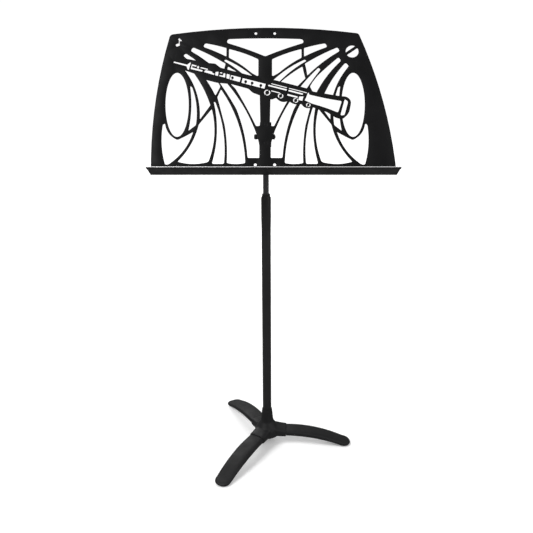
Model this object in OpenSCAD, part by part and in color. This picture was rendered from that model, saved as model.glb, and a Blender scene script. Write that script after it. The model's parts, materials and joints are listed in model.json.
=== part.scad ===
// Music stand: a pierced sheet desk on a tilt joint, a telescoping post and a three-legged base.
// Millimetres, +Z up, origin on the axis of the post at floor level, -Y towards the player.

/* [Desk] */
// Width of the desk at its ledge
desk_w = 508; // [400:1:620]
// Height of the desk panel, along its slope
desk_h = 318; // [270:1:390]
// Thickness of the desk panel
panel_t = 2; // [1.5:0.1:3]
// How far the middle of the desk stands to the right of the post
desk_shift = 17; // [0:1:25]
// How far the middle of the pierced pattern stands to the right of the post
pattern_shift = -1; // [-10:0.5:10]
// Lean of the desk back from upright, in degrees
desk_lean = 30; // [5:1:60]
// Depth of the ledge in front of the panel
ledge_depth = 58; // [40:1:90]
// Thickness of the ledge sheet
ledge_t = 1.5; // [1:0.1:2.5]
// Height of the flange that holds the ledge to the back of the panel
ledge_flange_h = 14; // [11:1:18]
// Diameter of the rivets in the desk
rivet_d = 4; // [3:0.1:5]
// Diameter of the four small holes for hanging the desk
hang_hole_d = 6; // [4:0.1:7]

/* [Tilt joint] */
// Height of the tilt axis above the floor with the post as shown
axis_h = 764.5; // [720:0.5:1000]
// Distance of the tilt axis up the panel from the ledge
axis_up = 86; // [70:1:110]
// Distance of the tilt axis behind the front face of the panel
axis_back = 20; // [18:0.5:26]
// Diameter of the tilt bolt
bolt_d = 6; // [5:0.5:8]
// Width of the tilt head between the friction washers
head_w = 18; // [15:0.5:24]
// Radius of the round end of the tilt head
head_r = 10; // [8:0.5:12]
// Thickness of the bracket sheet
bracket_t = 2; // [1.5:0.1:3]
// Height of the bracket, along the panel
bracket_h = 52; // [46:1:56]
// Thickness of the friction washers
friction_t = 1; // [0.8:0.1:1.5]

/* [Post] */
// Outer diameter of the outer tube
outer_d = 20.6; // [18:0.1:25]
// Wall of the outer tube
outer_wall = 1.5; // [1:0.1:2]
// Outer diameter of the inner tube
inner_d = 12.7; // [10:0.1:13.4]
// Wall of the inner tube
inner_wall = 1; // [0.8:0.1:1.5]
// Top of the clutch collar above the floor
collar_top = 640; // [560:1:680]
// Length of the clutch collar
collar_l = 83; // [75:1:110]
// Largest diameter of the clutch collar
collar_d = 21.6; // [20.6:0.1:27]
// Length of the guide bush on the foot of the inner tube
bush_l = 25; // [18:1:35]

/* [Base] */
// Reach of each leg from the axis to its tip
leg_reach = 205.5; // [175:0.5:260]
// Width of a leg at the hub and at its tip
leg_w = 38.5; // [30:0.5:42]
// How much wider a leg is halfway along
leg_bulge = 3; // [0:0.5:6]
// Thickness of a leg at the hub
leg_t = 15.5; // [12:0.5:18]
// Thickness of a leg at its tip
tip_t = 11.5; // [8:0.5:14]
// Height of the middle of a leg where it leaves the hub
leg_root_h = 36.5; // [34:0.5:46]
// Thickness of the hub's wall round a leg
hub_wall = 2.5; // [2.2:0.1:4]
// Height of the top of the hub
hub_top = 98; // [85:1:130]
// Thickness of the rubber foot pads
pad_t = 2; // [1.5:0.1:4]
// Diameter of the foot pads
pad_d = 24; // [18:0.5:28]
// Diameter of the base bolt
base_bolt_d = 8; // [6:0.5:10]
// Diameter of the leg screws
leg_screw_d = 6; // [4:0.5:8]

/* [Fits] */
// Radial clearance of a part that slides or turns on another
run_fit = 0.08; // [0.04:0.01:0.1]
// Radial clearance of a bolt in a plain hole
bolt_fit = 0.25; // [0.15:0.01:0.4]
// Radial clearance of a tube or a leg in its socket
seat_fit = 0.06; // [0.02:0.01:0.1]

/* [Hidden] */
$fn = 64;
cut = 1;                    // how far a cut runs past the face it opens

black = "#1b1b1c";
satin_black = "#26262a";
steel = "#8d9095";
rubber = "#151515";
nylon = "#33333a";

// ---- desk: places along the slope (v up the panel, n out of its front face) ----
DRAWN_W = 508;              // the desk width and height that the pattern is drawn for
DRAWN_H = 318;
across = desk_w / DRAWN_W;
along = desk_h / DRAWN_H;
desk_left = desk_shift - desk_w / 2;
desk_right = desk_shift + desk_w / 2;
fold_y = -axis_up * sin(desk_lean) - axis_back * cos(desk_lean);
fold_z = axis_h - axis_up * cos(desk_lean) + axis_back * sin(desk_lean);
hem_depth = 10;             // sheet folded back under the front edge of the ledge
ledge_bottom = -2 * ledge_t;
rivet_head_d = 1.75 * rivet_d;
rivet_head_t = 0.45 * rivet_d;
ledge_rivet_count = 7;
ledge_rivet_inset = 22;
hang_hole_u = 20;           // the small holes, either side of the middle
hang_hole_inset = [20, desk_h - 306.5 * along];

// ---- tilt joint ----
bracket_inner = head_w / 2 + friction_t;
bracket_outer = bracket_inner + bracket_t;
bracket_rivet_pitch = bracket_h - 12;
flat_washer_t = 1.6;
spring_washer_t = 2.4;
washer_gap = 0.05;          // between the two spring washers, so that they stay two pieces
washer_d = 2 * bolt_d + 1.4;
head_seat = bracket_outer + flat_washer_t + 2 * spring_washer_t + washer_gap;    // two springs under the head
nut_seat = bracket_outer + flat_washer_t;
bolt_head_t = bolt_d - 1;
nut_t = bolt_d;
across_flats = 1.67 * bolt_d;
bolt_end = 1.2;             // thread showing past the nut
head_dome_t = 1;

// ---- post ----
inner_bore = inner_d - 2 * inner_wall;
outer_bore = outer_d - 2 * outer_wall;
tube_top = axis_h - head_r - 8;
head_stem_l = 26;
pin_d = 3;
pin_drop = 14;              // pin below the top of the inner tube
collar_foot = collar_top - collar_l;
spigot_l = 20;
insert_l = 38;
insert_wall = 2.2;
insert_slots = 6;
slot_w = 1.2;
neck_l = 9;                 // the chamfered and necked top of the collar
collar_lip = 2;             // rim of the collar over the insert
socket_floor = 13;          // solid hub under the outer tube
anchor_l = 24;
hub_bottom = leg_root_h - leg_t / 2 - hub_wall;
tube_foot = hub_bottom + socket_floor;
low_travel = 40;            // how far the post may go down from where it is shown
flange_t = 4;
inner_foot = tube_foot + anchor_l + low_travel + flange_t + 2;
bush_ring_t = 2;

// ---- base ----
leg_angles = [-1.8, -121.8, 118.2];
leg_start = 20.5;           // inner end of a leg, inside the hub
arm_end = 47;               // outer end of the hub's arms
tip_r = leg_w / 2 - 3;      // rounding of the tip, seen from above
pad_inset = leg_w / 2;      // middle of a foot pad from the tip
tip_fall = 5.5;             // drop of the top from there to the tip
neck_r = outer_d / 2 + 4.5; // hub where the casting starts to flare
body_r = 30;                // hub below the arms
base_washer_t = 2;
leg_rings = 26;
section_points = 28;
leg_screw_r = 33;           // screw from the axis
leg_screw_l = 11;

// ======================= outlines with bowed sides =======================
// A corner is [u, v, rounding, bow]: the bow is how far the side that follows stands
// out from a straight line at its middle, outwards where the corners run anticlockwise.

function bow_point(p, q, bow, t) =
    let (d = q - p, out = [d.y, -d.x] / norm(d)) p + d * t + out * 4 * bow * t * (1 - t);

function at(corners, i) = corners[(i + len(corners)) % len(corners)];
function spot(corner) = [corner[0] * across, corner[1] * along];

function side_point(corners, i, t) =
    bow_point(spot(at(corners, i)), spot(at(corners, i + 1)), at(corners, i)[3], t);

function side_trim(corners, i, rounding) =
    min(0.5, rounding / norm(spot(at(corners, i + 1)) - spot(at(corners, i))));

function corner_steps(rounding) = rounding < 0.1 ? 0 : rounding < 3 ? 3 : 5;
function side_steps(bow) = bow == 0 ? 1 : ceil(2 + 2 * sqrt(abs(bow)));

function corner_points(corners, i) =
    let (c = at(corners, i), steps = corner_steps(c[2]))
    steps == 0 ? [spot(c)] :
    let (p = side_point(corners, i - 1, 1 - side_trim(corners, i - 1, c[2])),
         q = side_point(corners, i, side_trim(corners, i, c[2])),
         m = spot(c))
    [for (k = [0:steps]) let (t = k / steps) p * (1 - t) ^ 2 + m * 2 * t * (1 - t) + q * t ^ 2];

function side_points(corners, i) =
    let (a = side_trim(corners, i, at(corners, i)[2]),
         b = 1 - side_trim(corners, i, at(corners, i + 1)[2]),
         steps = side_steps(at(corners, i)[3]))
    steps < 2 || b - a < 0.01 ? [] :
    [for (k = [1:steps - 1]) side_point(corners, i, a + (b - a) * k / steps)];

function bowed_outline(corners) =
    [for (i = [0:len(corners) - 1]) each concat(corner_points(corners, i), side_points(corners, i))];

// Drops a point that falls on the one before it
function distinct(points) =
    [for (i = [0:len(points) - 1]) if (norm(points[i] - at(points, i - 1)) > 0.02) points[i]];

module bowed(corners) polygon(distinct(bowed_outline(corners)));

// ======================= desk pattern =======================
panel_edge = [
    [(desk_left + 0.7) / across, 0, 0, 0], [(desk_right - 0.2) / across, 0, 0, 12.5],
    [196.8, 306.8, 5, 14], [-202.3, 303.8, 6, 11.5],
];

top_opening = [[0, 255.5, 3, -1.3], [81.5, 285.5, 5, 0], [79.5, 294.2, 5, 1.8],
    [-79.5, 294.2, 5, 0], [-81.5, 285.5, 5, -1.3]];

// Openings of one half, from the middle outwards. The other half mirrors them.
half_openings = [
    // beside the top of the spine
    [[14.5, 211, 4, 0.3], [30, 220, 4, -1.8], [76.5, 252.5, 2, 0], [76.5, 272.2, 2, 1.8],
        [14.5, 249.5, 2.5, 0]],
    [[82, 255, 2, -1], [131, 276.5, 4, 0], [127.5, 285, 4, 0.8], [82, 274.3, 2, 0]],
    // ribs that fan out from the spine
    [[20, 192, 0, 0], [31, 201, 0, -2.6], [87, 245.5, 2.5, 0], [84, 249, 2.5, 4.6], [10, 196, 0, 0]],
    [[10, 104, 3, 0], [18.5, 102, 3.5, -1.2], [62, 184, 4, 0], [84.5, 207, 2, -0.5],
        [78.5, 233.5, 2.5, 3.3], [11.5, 178, 0, 0]],
    [[88.5, 213, 2, -3], [157.5, 267.5, 4, 0], [153, 276, 4, 1.7], [83.5, 239.5, 2, -0.6]],
    [[12, 34.5, 2, 0], [36, 34.5, 3, -4.2], [60, 140, 4, -2], [116.5, 226.5, 3, 0],
        [112.5, 231, 3, 2.4], [58, 166, 4, 1.8], [25.5, 105, 4, 1.4], [12, 62, 2, 0]],
    [[104, 169, 2.5, -4.5], [160, 246, 4, 0], [155, 254, 4, 0.5], [112, 215, 6, 1],
        [94, 189, 2, 0]],
    [[136, 117, 2, -12], [176.5, 234.5, 4, 0], [169.5, 242, 4, 6], [114.5, 148, 2, 0]],
    // beside and below the oval
    [[144, 105, 2, 0], [159.5, 92.5, 2, -4.3], [157.5, 190, 1.5, 0], [153.5, 188, 2, 5.2]],
    [[200, 20.3, 3, 0], [206.5, 20.3, 3, 4.7], [213, 106, 2.5, 0], [208.5, 109, 2.5, -6.3],
        [182, 73, 3, -0.5], [149.5, 90.5, 2, 7.8]],
    [[117, 26, 4, 4.7], [181, 26.5, 3, -6.4], [138, 106.5, 1.5, 0], [111.5, 140, 2, 8.8]],
    [[85, 21.8, 3, 0], [110, 21.8, 4, -8.7], [107.5, 156, 1.5, 0], [104, 154.5, 1.5, 8]],
    [[41, 23.5, 3, 2], [79, 23.5, 3, -2.2], [84, 105, 4, 0], [100, 166, 2, 0], [92.5, 183, 2, 12]],
];

oval_centre = [184, 149.5];
oval_half = [24.3, 70];
oval_turn = -1.2;

// One rib opening reaches further towards the left corner than its twin
left_opening = [[-150, 236, 0, 0], [-150, 250, 0, 0], [-168, 262.5, 4, 0], [-173, 257, 4, 0]];

// The woodwind motif lies along a line of its own: s from the reed to the bell, t across it.
motif_start = [-193, 243];
motif_turn = -15.1;
motif_surround = [
    [10, -10, 0, 0], [48, -13, 2, 0], [75, -20, 4, 0], [100, -20, 4, 0], [130, -15, 4, 0],
    [168, -15.5, 4, 0], [178, -21.5, 4, 0], [221, -26, 3, 0], [229, -19.5, 2, 5.5], [256, -19, 2, 4],
    [283, -18.5, 2, 5.5], [308, -19.5, 2, 0], [340, -22, 4, 0], [360, -29, 5, 0], [375, -29, 7, 0],
    [385, -12, 8, 0], [383, 14.5, 7, 0], [372, 21.5, 6, 0], [356, 18.5, 4, 0], [300, 13.5, 4, 0],
    [288, 17, 3, 0], [215, 17, 4, 0], [165, 13.5, 4, 0], [99, 13.5, 3, 0], [86, 19.5, 3, 0],
    [72, 17, 3, 0], [10, 13, 0, 0],
];
motif_cuts = [
    // reed and its round staple
    [[0, -1.6, 1, 0], [29, -2, 0, 0], [33.5, -8.6, 1.5, 0], [35.5, -8.6, 0.5, 0], [35.5, 8.6, 0.5, 0],
        [33.5, 8.6, 1.5, 0], [29, 2, 0, 0], [0, 1.8, 1, 0]],
    // upper joint
    [[38.5, -5.6, 1.5, 0], [64, -5, 0.5, 0], [64, -1.2, 0.5, 0], [40.5, -1.2, 0.5, 0],
        [40.5, 2.2, 0.5, 0], [49, 2.2, 0.5, 0], [49, 5.4, 1, 0], [38.5, 5.8, 1.5, 0]],
    [[51, -0.2, 0, 0], [55.5, -0.2, 0.5, 0], [54, 5.2, 0.5, 0], [51, 5.2, 0.5, 0]],
    [[57, 1.6, 0.5, 0], [74, 1.8, 0.5, 0], [74, 4.6, 1, 0], [58.5, 4.6, 1, 0]],
    [[67, -4.6, 1, 0], [90, -5.4, 1, 0], [90, -2, 0.5, 0], [85, -1.4, 0.5, 0], [84, 1, 0.5, 0],
        [70, 0.8, 1, 0]],
    [[92.5, -5.4, 0.5, 0], [98.5, -5.4, 0.5, 0], [97, 4.6, 1, 0], [91, 2, 1, 0]],
    [[101, -5, 0.5, 0], [114, -5, 1, 0], [112, 4, 1, 0], [108.5, 4.6, 0.5, 0], [108, -1.6, 0.5, 0],
        [101, -1.8, 0.5, 0]],
    [[100, 1.6, 1, 0], [105.5, 1.6, 0.5, 0], [105.5, 4.6, 0.5, 0], [101, 4.6, 1, 0]],
    [[117, -5.6, 0.5, 0], [123.5, -5.6, 0.5, 0], [121.5, 4.4, 0.5, 0], [115, 4.4, 0.5, 0]],
    // long key rods of the lower joint
    [[206, 0.8, 0.8, 0], [246, 0.8, 0.8, 0], [246, 4.6, 0.8, 0], [206, 4.2, 0.8, 0]],
    [[250, 0.8, 0.8, 0], [281, 0.8, 0.8, 0], [281, 4.4, 0.8, 0], [250, 4.6, 0.8, 0]],
    [[211, 6.6, 0.8, 0], [245, 6.6, 0.8, 0], [245, 8.8, 0.8, 0], [211, 8.8, 0.8, 0]],
    [[249.5, 6.6, 0.8, 0], [288, 6.6, 0.8, 0], [288, 8.8, 0.8, 0], [249.5, 8.8, 0.8, 0]],
    [[250, -8.8, 0.8, 0], [272, -8.6, 0.8, 0], [272, -4.8, 0.8, 0], [250, -4.8, 0.8, 0]],
    [[215, -8.6, 0.8, 0], [234, -8.8, 0.8, 0], [234, -6.2, 0.8, 0], [215, -6.2, 0.8, 0]],
    [[275, -12, 0.8, 0], [283.5, -12, 0.8, 0], [283.5, -1.5, 0.8, 0], [275, -4, 0.8, 0]],
    // bell
    [[288, -9.5, 1, 0], [306, -12.5, 1, -1], [362, -17, 3, 0], [363.5, 9.5, 3, -1], [294, 5.5, 1.5, 0],
        [292, 9, 1, 0], [290.5, 9, 0.5, 0], [289.5, -3, 0.5, 0]],
    [[368.5, -22, 3.5, 0], [376.5, -19, 3.5, 0], [376.5, 12, 3.5, 0], [368.5, 15.5, 3.5, 0]],
];
// Two stretches of the body where round pads stand on stems: [from, to, low, high]
pad_stretches = [[124.5, 146, -6.2, 4.2], [150, 200, -7, 4.2]];
// Round pads: [s, t, radius], each on a stem down to the lower edge
round_pads = [[129, -1, 2.8], [158, -2, 3], [172, -1.6, 3], [191, -1.8, 3]];
pad_stem_w = 1.4;
// Key cups below the body: [s, t, outer radius, pad radius]
key_cups = [[208, -13.5, 6.4, 4.2], [237, -13.2, 5.6, 3.6], [270, -14.4, 5.4, 3.4], [298, -17.2, 4.6, 2.8]];

// The two round marks in the upper corners
corner_mark = [183.5, 266.5, 13.5];
mark_bar_w = 6;
mark_bar_rise = 3.6;
mark_bar_turn = 35;
note_centre = [-185, 281];

module motif_frame() translate([motif_start[0] * across + pattern_shift, motif_start[1] * along])
    rotate(motif_turn) children();

module ring_of(outer, inner) difference() { circle(outer, $fn = 32); circle(inner, $fn = 32); }

module key_cup(cup) translate([cup[0] * across, cup[1]]) difference() {
    ring_of(cup[2], cup[3]);
    rotate(-115) square([cup[2] + cut, pad_stem_w]);
    rotate(65) square([cup[2] + cut, pad_stem_w + 0.6]);
}

module pad_stretch(stretch) difference() {
    translate([stretch[0] * across, stretch[2]])
        square([(stretch[1] - stretch[0]) * across, stretch[3] - stretch[2]]);
    for (pad = round_pads) translate([pad[0] * across, pad[1]]) {
        circle(pad[2], $fn = 24);
        translate([-pad_stem_w / 2, -12]) square([pad_stem_w, 12]);
    }
}

module woodwind_cuts() motif_frame() {
    for (corners = motif_cuts) bowed(corners);
    for (stretch = pad_stretches) pad_stretch(stretch);
    for (cup = key_cups) key_cup(cup);
}

module quaver() translate([note_centre[0] * across + pattern_shift, note_centre[1] * along]) {
    rotate(20) intersection() { square([8.4, 6], center = true); circle(4.2, $fn = 24); }
    translate([2.2, 0]) square([1.6, 15]);
    translate([2.2, 15]) rotate(-38) translate([0, -3.2]) square([8, 3.2]);
}

module corner_disc() translate([corner_mark[0] * across + pattern_shift, corner_mark[1] * along]) difference() {
    circle(corner_mark[2], $fn = 40);
    translate([0, mark_bar_rise]) rotate(mark_bar_turn)
        square([3 * corner_mark[2], mark_bar_w], center = true);
}

module hang_holes() for (side = [-1, 1], v = [hang_hole_inset[0], desk_h - hang_hole_inset[1]])
    translate([side * hang_hole_u + pattern_shift, v]) circle(d = hang_hole_d, $fn = 24);

module desk_openings() translate([pattern_shift, 0]) {
    bowed(top_opening);
    for (half = [0, 1]) mirror([half, 0]) {
        for (corners = half_openings) bowed(corners);
        polygon([for (k = [0:47]) let (a = 7.5 * k, p = [oval_half[0] * cos(a), oval_half[1] * sin(a)])
            [(oval_centre[0] + p.x * cos(oval_turn) - p.y * sin(oval_turn)) * across,
             (oval_centre[1] + p.x * sin(oval_turn) + p.y * cos(oval_turn)) * along]]);
    }
    bowed(left_opening);
}

// ======================= desk =======================
// Puts a piece drawn as x across, y up the panel and z out of its front onto the leaning desk
module on_desk() translate([0, fold_y, fold_z]) rotate([90 - desk_lean, 0, 0]) children();

// Puts a piece that turns about +Z onto the tilt axis, pointing to the right
module on_axis() translate([0, 0, axis_h]) rotate([0, 90, 0]) children();

function ledge_rivet_u(i) = desk_left + ledge_rivet_inset
    + i * (desk_w - 2 * ledge_rivet_inset) / (ledge_rivet_count - 1);
ledge_rivet_v = ledge_flange_h / 2;
bracket_rivet_v = [axis_up - bracket_rivet_pitch / 2, axis_up + bracket_rivet_pitch / 2];

// A flush rivet: countersunk head at the front face, shank through the sheets, dome behind
module rivet(grip) {
    translate([0, 0, -rivet_head_t]) cylinder(rivet_head_t, rivet_d / 2, rivet_head_d / 2);
    translate([0, 0, -grip]) cylinder(grip - rivet_head_t / 2, d = rivet_d);
    translate([0, 0, -grip]) intersection() {
        translate([0, 0, rivet_head_d / 2 - rivet_head_t]) sphere(d = rivet_head_d);
        translate([0, 0, -rivet_head_t]) cylinder(rivet_head_t, d = 2 * rivet_head_d);
    }
}

module rivet_hole(grip) {
    translate([0, 0, -rivet_head_t]) cylinder(rivet_head_t, rivet_d / 2, rivet_head_d / 2);
    translate([0, 0, -grip - cut]) cylinder(grip + cut, d = rivet_d);
}

module at_ledge_rivets() for (i = [0:ledge_rivet_count - 1])
    translate([ledge_rivet_u(i), ledge_rivet_v, 0]) children();

module at_bracket_rivets() for (v = bracket_rivet_v) translate([0, v, 0]) children();

module desk_panel() color(black) on_desk() difference() {
    translate([0, 0, -panel_t]) linear_extrude(panel_t) difference() {
        bowed(panel_edge);
        difference() {
            desk_openings();
            motif_frame() bowed(motif_surround);
        }
        woodwind_cuts();
        quaver();
        corner_disc();
        hang_holes();
    }
    at_ledge_rivets() rivet_hole(panel_t);
    at_bracket_rivets() rivet_hole(panel_t);
}

module ledge() color(black) on_desk() difference() {
    translate([desk_left, 0, 0]) rotate([90, 0, 90]) linear_extrude(desk_w) union() {
        translate([-ledge_t, -panel_t]) square([ledge_t, ledge_depth + panel_t]);
        translate([-ledge_t, -panel_t - ledge_t]) square([ledge_t + ledge_flange_h, ledge_t]);
        translate([ledge_bottom, ledge_depth - hem_depth]) square([ledge_t, hem_depth]);
    }
    at_ledge_rivets() translate([0, 0, -panel_t - ledge_t - cut]) cylinder(2 * ledge_t + cut, d = rivet_d);
}

module desk_bracket() color(satin_black) on_desk() difference() {
    translate([0, axis_up, -panel_t]) difference() {
        union() {
            translate([-bracket_outer, -bracket_h / 2, -bracket_t]) cube([2 * bracket_outer, bracket_h, bracket_t]);
            for (side = [-1, 1]) translate([side * (bracket_inner + bracket_t / 2), 0, 0]) bracket_cheek();
        }
        translate([-2 * bracket_outer, 0, panel_t - axis_back]) rotate([0, 90, 0])
            cylinder(4 * bracket_outer, d = bolt_d + 2 * bolt_fit);
    }
    at_bracket_rivets() translate([0, 0, -panel_t - bracket_t - cut])
        cylinder(2 * bracket_t + cut, d = rivet_d);
}

// One cheek of the bracket: as tall as the web where they meet, round about the axis
module bracket_cheek() translate([-bracket_t / 2, 0, 0]) rotate([90, 0, 90]) linear_extrude(bracket_t) union() {
    translate([0, panel_t - axis_back]) circle(r = head_r + 1);
    polygon([[-bracket_h / 2, 0], [-bracket_h / 2, -bracket_t - 4], [-head_r - 1, panel_t - axis_back],
        [head_r + 1, panel_t - axis_back], [bracket_h / 2, -bracket_t - 4], [bracket_h / 2, 0]]);
}

module bracket_rivets() color(black) on_desk() at_bracket_rivets() rivet(panel_t + bracket_t);

module ledge_rivets() color(black) on_desk() at_ledge_rivets() rivet(panel_t + ledge_t);

// ======================= tilt joint =======================
module tilt_bolt() color(steel) on_axis() translate([0, 0, -head_seat]) {
    translate([0, 0, -bolt_head_t]) cylinder(bolt_head_t, r = across_flats / sqrt(3), $fn = 6);
    translate([0, 0, -bolt_head_t - head_dome_t])
        cylinder(head_dome_t, across_flats / 2 - 1.4, across_flats / 2 - 0.2);
    cylinder(head_seat + nut_seat + nut_t + bolt_end, d = bolt_d);
}

module tilt_nut() color(steel) on_axis() translate([0, 0, nut_seat]) difference() {
    cylinder(nut_t, r = across_flats / sqrt(3), $fn = 6);
    translate([0, 0, -cut]) cylinder(nut_t + 2 * cut, d = bolt_d);
}

module washer(d, t, fit) difference() {
    cylinder(t, d = d);
    translate([0, 0, -cut]) cylinder(t + 2 * cut, d = bolt_d + 2 * fit);
}

module friction_washers() color(nylon) on_axis() for (z = [-bracket_inner, head_w / 2])
    translate([0, 0, z]) washer(2 * head_r - 2, friction_t, bolt_fit);

module flat_washers() color(steel) on_axis() for (z = [-bracket_outer - flat_washer_t, bracket_outer])
    translate([0, 0, z]) washer(washer_d, flat_washer_t, bolt_fit);

module spring_washers() color(steel) on_axis() for (k = [0, 1])
    translate([0, 0, k * (spring_washer_t + washer_gap) - head_seat]) rotate(k * 90) difference() {
        washer(across_flats, spring_washer_t, bolt_fit);
        translate([0, -0.5, -cut]) cube([across_flats, 1, spring_washer_t + 2 * cut]);
    }

module tilt_head() color(satin_black) difference() {
    union() {
        on_axis() translate([0, 0, -head_w / 2]) cylinder(head_w, r = head_r);
        translate([0, 0, tube_top]) cylinder(axis_h - tube_top, d = inner_d + 2);
        translate([0, 0, tube_top - head_stem_l]) cylinder(head_stem_l + cut, d = inner_bore - 2 * seat_fit);
    }
    on_axis() translate([0, 0, -head_w]) cylinder(2 * head_w, r = bolt_d / 2 + run_fit);
    translate([0, 0, tube_top - pin_drop]) rotate([90, 0, 0])
        translate([0, 0, -inner_d]) cylinder(2 * inner_d, d = pin_d);
}

module head_pin() color(steel) translate([0, 0, tube_top - pin_drop]) rotate([90, 0, 0])
    translate([0, 0, -inner_d / 2 + 0.2]) cylinder(inner_d - 0.4, d = pin_d);

// ======================= post =======================
module tube(d, bore, foot, top) translate([0, 0, foot]) difference() {
    cylinder(top - foot, d = d);
    translate([0, 0, -cut]) cylinder(top - foot + 2 * cut, d = bore);
}

module outer_tube() color(black) tube(outer_d, outer_bore, tube_foot, collar_foot);

module tube_anchor_plug() color(steel)
    tube(outer_bore - 2 * seat_fit, base_bolt_d, tube_foot, tube_foot + anchor_l);

module inner_tube() color(satin_black) difference() {
    tube(inner_d, inner_bore, inner_foot, tube_top);
    translate([0, 0, tube_top - pin_drop]) rotate([90, 0, 0])
        translate([0, 0, -inner_d]) cylinder(2 * inner_d, d = pin_d);
}

// Closes the foot of the inner tube, with a flange that the bush rests on
module tube_end_plug() color(nylon) {
    translate([0, 0, inner_foot - flange_t]) cylinder(flange_t, d = outer_bore - 2);
    translate([0, 0, inner_foot - cut]) cylinder(14, d = inner_bore - 2 * seat_fit);
}

module guide_bush() color(nylon) tube(outer_bore - 2 * run_fit, inner_d + 2 * run_fit,
    inner_foot + run_fit, inner_foot + bush_l - run_fit);

module bush_retaining_ring() color(steel)
    tube(inner_d + 3, inner_d, inner_foot + bush_l, inner_foot + bush_l + bush_ring_t);

// A turned sleeve that carries on the outer tube, with a spigot in the tube and a necked top
module clutch_collar() color(black) rotate_extrude() polygon([
    [inner_d / 2 + 1, collar_foot - spigot_l],
    [outer_bore / 2 - seat_fit, collar_foot - spigot_l],
    [outer_bore / 2 - seat_fit, collar_foot],
    [outer_d / 2, collar_foot],
    [collar_d / 2, collar_foot + 28],
    [collar_d / 2, collar_top - neck_l],
    [collar_d / 2 - 1.9, collar_top - neck_l / 2],
    [collar_d / 2 - 1.9, collar_top - 0.6],
    [collar_d / 2 - 2.5, collar_top],
    [inner_d / 2 + 0.5, collar_top],
    [inner_d / 2 + 0.5, collar_top - collar_lip],
    [inner_d / 2 + insert_wall + seat_fit, collar_top - collar_lip],
    [inner_d / 2 + insert_wall + seat_fit, collar_top - collar_lip - insert_l],
    [inner_d / 2 + 1, collar_top - collar_lip - insert_l],
]);

// The slotted sleeve that grips the inner tube
module clutch_insert() color(nylon) difference() {
    tube(inner_d + 2 * insert_wall, inner_d + 2 * run_fit,
        collar_top - collar_lip - insert_l, collar_top - collar_lip);
    for (k = [0:insert_slots - 1]) rotate(k * 360 / insert_slots)
        translate([inner_d / 2 - 1, -slot_w / 2, collar_top - collar_lip - insert_l + 6])
            cube([insert_wall + 2, slot_w, insert_l]);
}

// ======================= base =======================
// How far the middle of a leg stands above its rest, its thickness, top and foot, at a distance from the axis
leg_rest_h = pad_t + tip_t / 2;
function leg_share(r) = max(0, (r - arm_end) / (leg_reach - pad_inset - arm_end));
function leg_fall(r) = leg_share(r) < 1 ? (leg_root_h - leg_rest_h) * (1 - leg_share(r) ^ 2.1)
    : -tip_fall * (r - leg_reach + pad_inset) / pad_inset;
function leg_thick(r) = leg_t + (tip_t - leg_t) * min(1, leg_share(r));
function leg_top(r) = leg_rest_h + leg_fall(r) + leg_thick(r) / 2;
function leg_foot(r) = leg_rest_h + max(0, leg_fall(r)) - leg_thick(r) / 2;
function leg_half_w(r) = let (share = min(1, leg_share(r)), past = max(0, r - (leg_reach - tip_r)) / tip_r)
    (leg_w / 2 + 2 * leg_bulge * share * (1 - share)) * sqrt(max(0.0004, 1 - past ^ 2));

// Closed rounded section, squarer than an ellipse
function section(half_w, half_t) = [for (k = [0:section_points - 1]) let (a = 360 * k / section_points)
    [half_w * sign(cos(a)) * abs(cos(a)) ^ 0.55, half_t * sign(sin(a)) * abs(sin(a)) ^ 0.55]];

// Sweeps sections along x. Each station is [x, middle height, half width, half thickness].
module swept(stations) {
    rings = len(stations);
    points = [for (s = stations) each [for (p = section(s[2], s[3])) [s[0], p.x, s[1] + p.y]]];
    sides = [for (i = [0:rings - 2], k = [0:section_points - 1]) let (n = (k + 1) % section_points)
        [i * section_points + k, (i + 1) * section_points + k,
         (i + 1) * section_points + n, i * section_points + n]];
    polyhedron(points, concat(sides, [[for (k = [0:section_points - 1]) k]],
        [[for (k = [section_points - 1:-1:0]) (rings - 1) * section_points + k]]));
}

// Half the height of the section, rounded off over the last stretch of the tip
function leg_half_t(r) = let (past = max(0, r - (leg_reach - tip_r / 2)) / (tip_r / 2))
    (leg_top(r) - leg_foot(r)) / 2 * sqrt(max(0.04, 1 - past ^ 2));
leg_stations = [for (i = [0:leg_rings])
    let (q = i / leg_rings, r = leg_start + (leg_reach - leg_start) * (1 - (1 - q) ^ 1.6))
    [r, (leg_top(r) + leg_foot(r)) / 2, leg_half_w(r), leg_half_t(r)]];

module leg(angle) color(satin_black) rotate(angle) difference() {
    swept(leg_stations);
    translate([leg_screw_r, 0, hub_bottom]) cylinder(leg_screw_l + 1, d = leg_screw_d);
    translate([leg_reach - pad_inset, 0, 0]) cylinder(pad_t, d = pad_d + cut);
}

module leg_right() leg(leg_angles[0]);
module leg_front_left() leg(leg_angles[1]);
module leg_rear_left() leg(leg_angles[2]);

module foot_pad(angle) color(rubber) rotate(angle) translate([leg_reach - pad_inset, 0, 0])
    cylinder(pad_t, pad_d / 2 - 0.6, pad_d / 2);
module foot_pad_right() foot_pad(leg_angles[0]);
module foot_pad_front_left() foot_pad(leg_angles[1]);
module foot_pad_rear_left() foot_pad(leg_angles[2]);

// Height of the top of a hub arm: high at the neck, just over the leg where it ends
function arm_rise(r) = 11 * (1 - min(1, r / arm_end)) ^ 1.4;
module hub_arm() swept([for (i = [0:8]) let (r = arm_end * i / 8, rise = arm_rise(r))
    [r, leg_root_h + rise / 2, leg_w / 2 + hub_wall - 1, leg_t / 2 + hub_wall + rise / 2]]);

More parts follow.
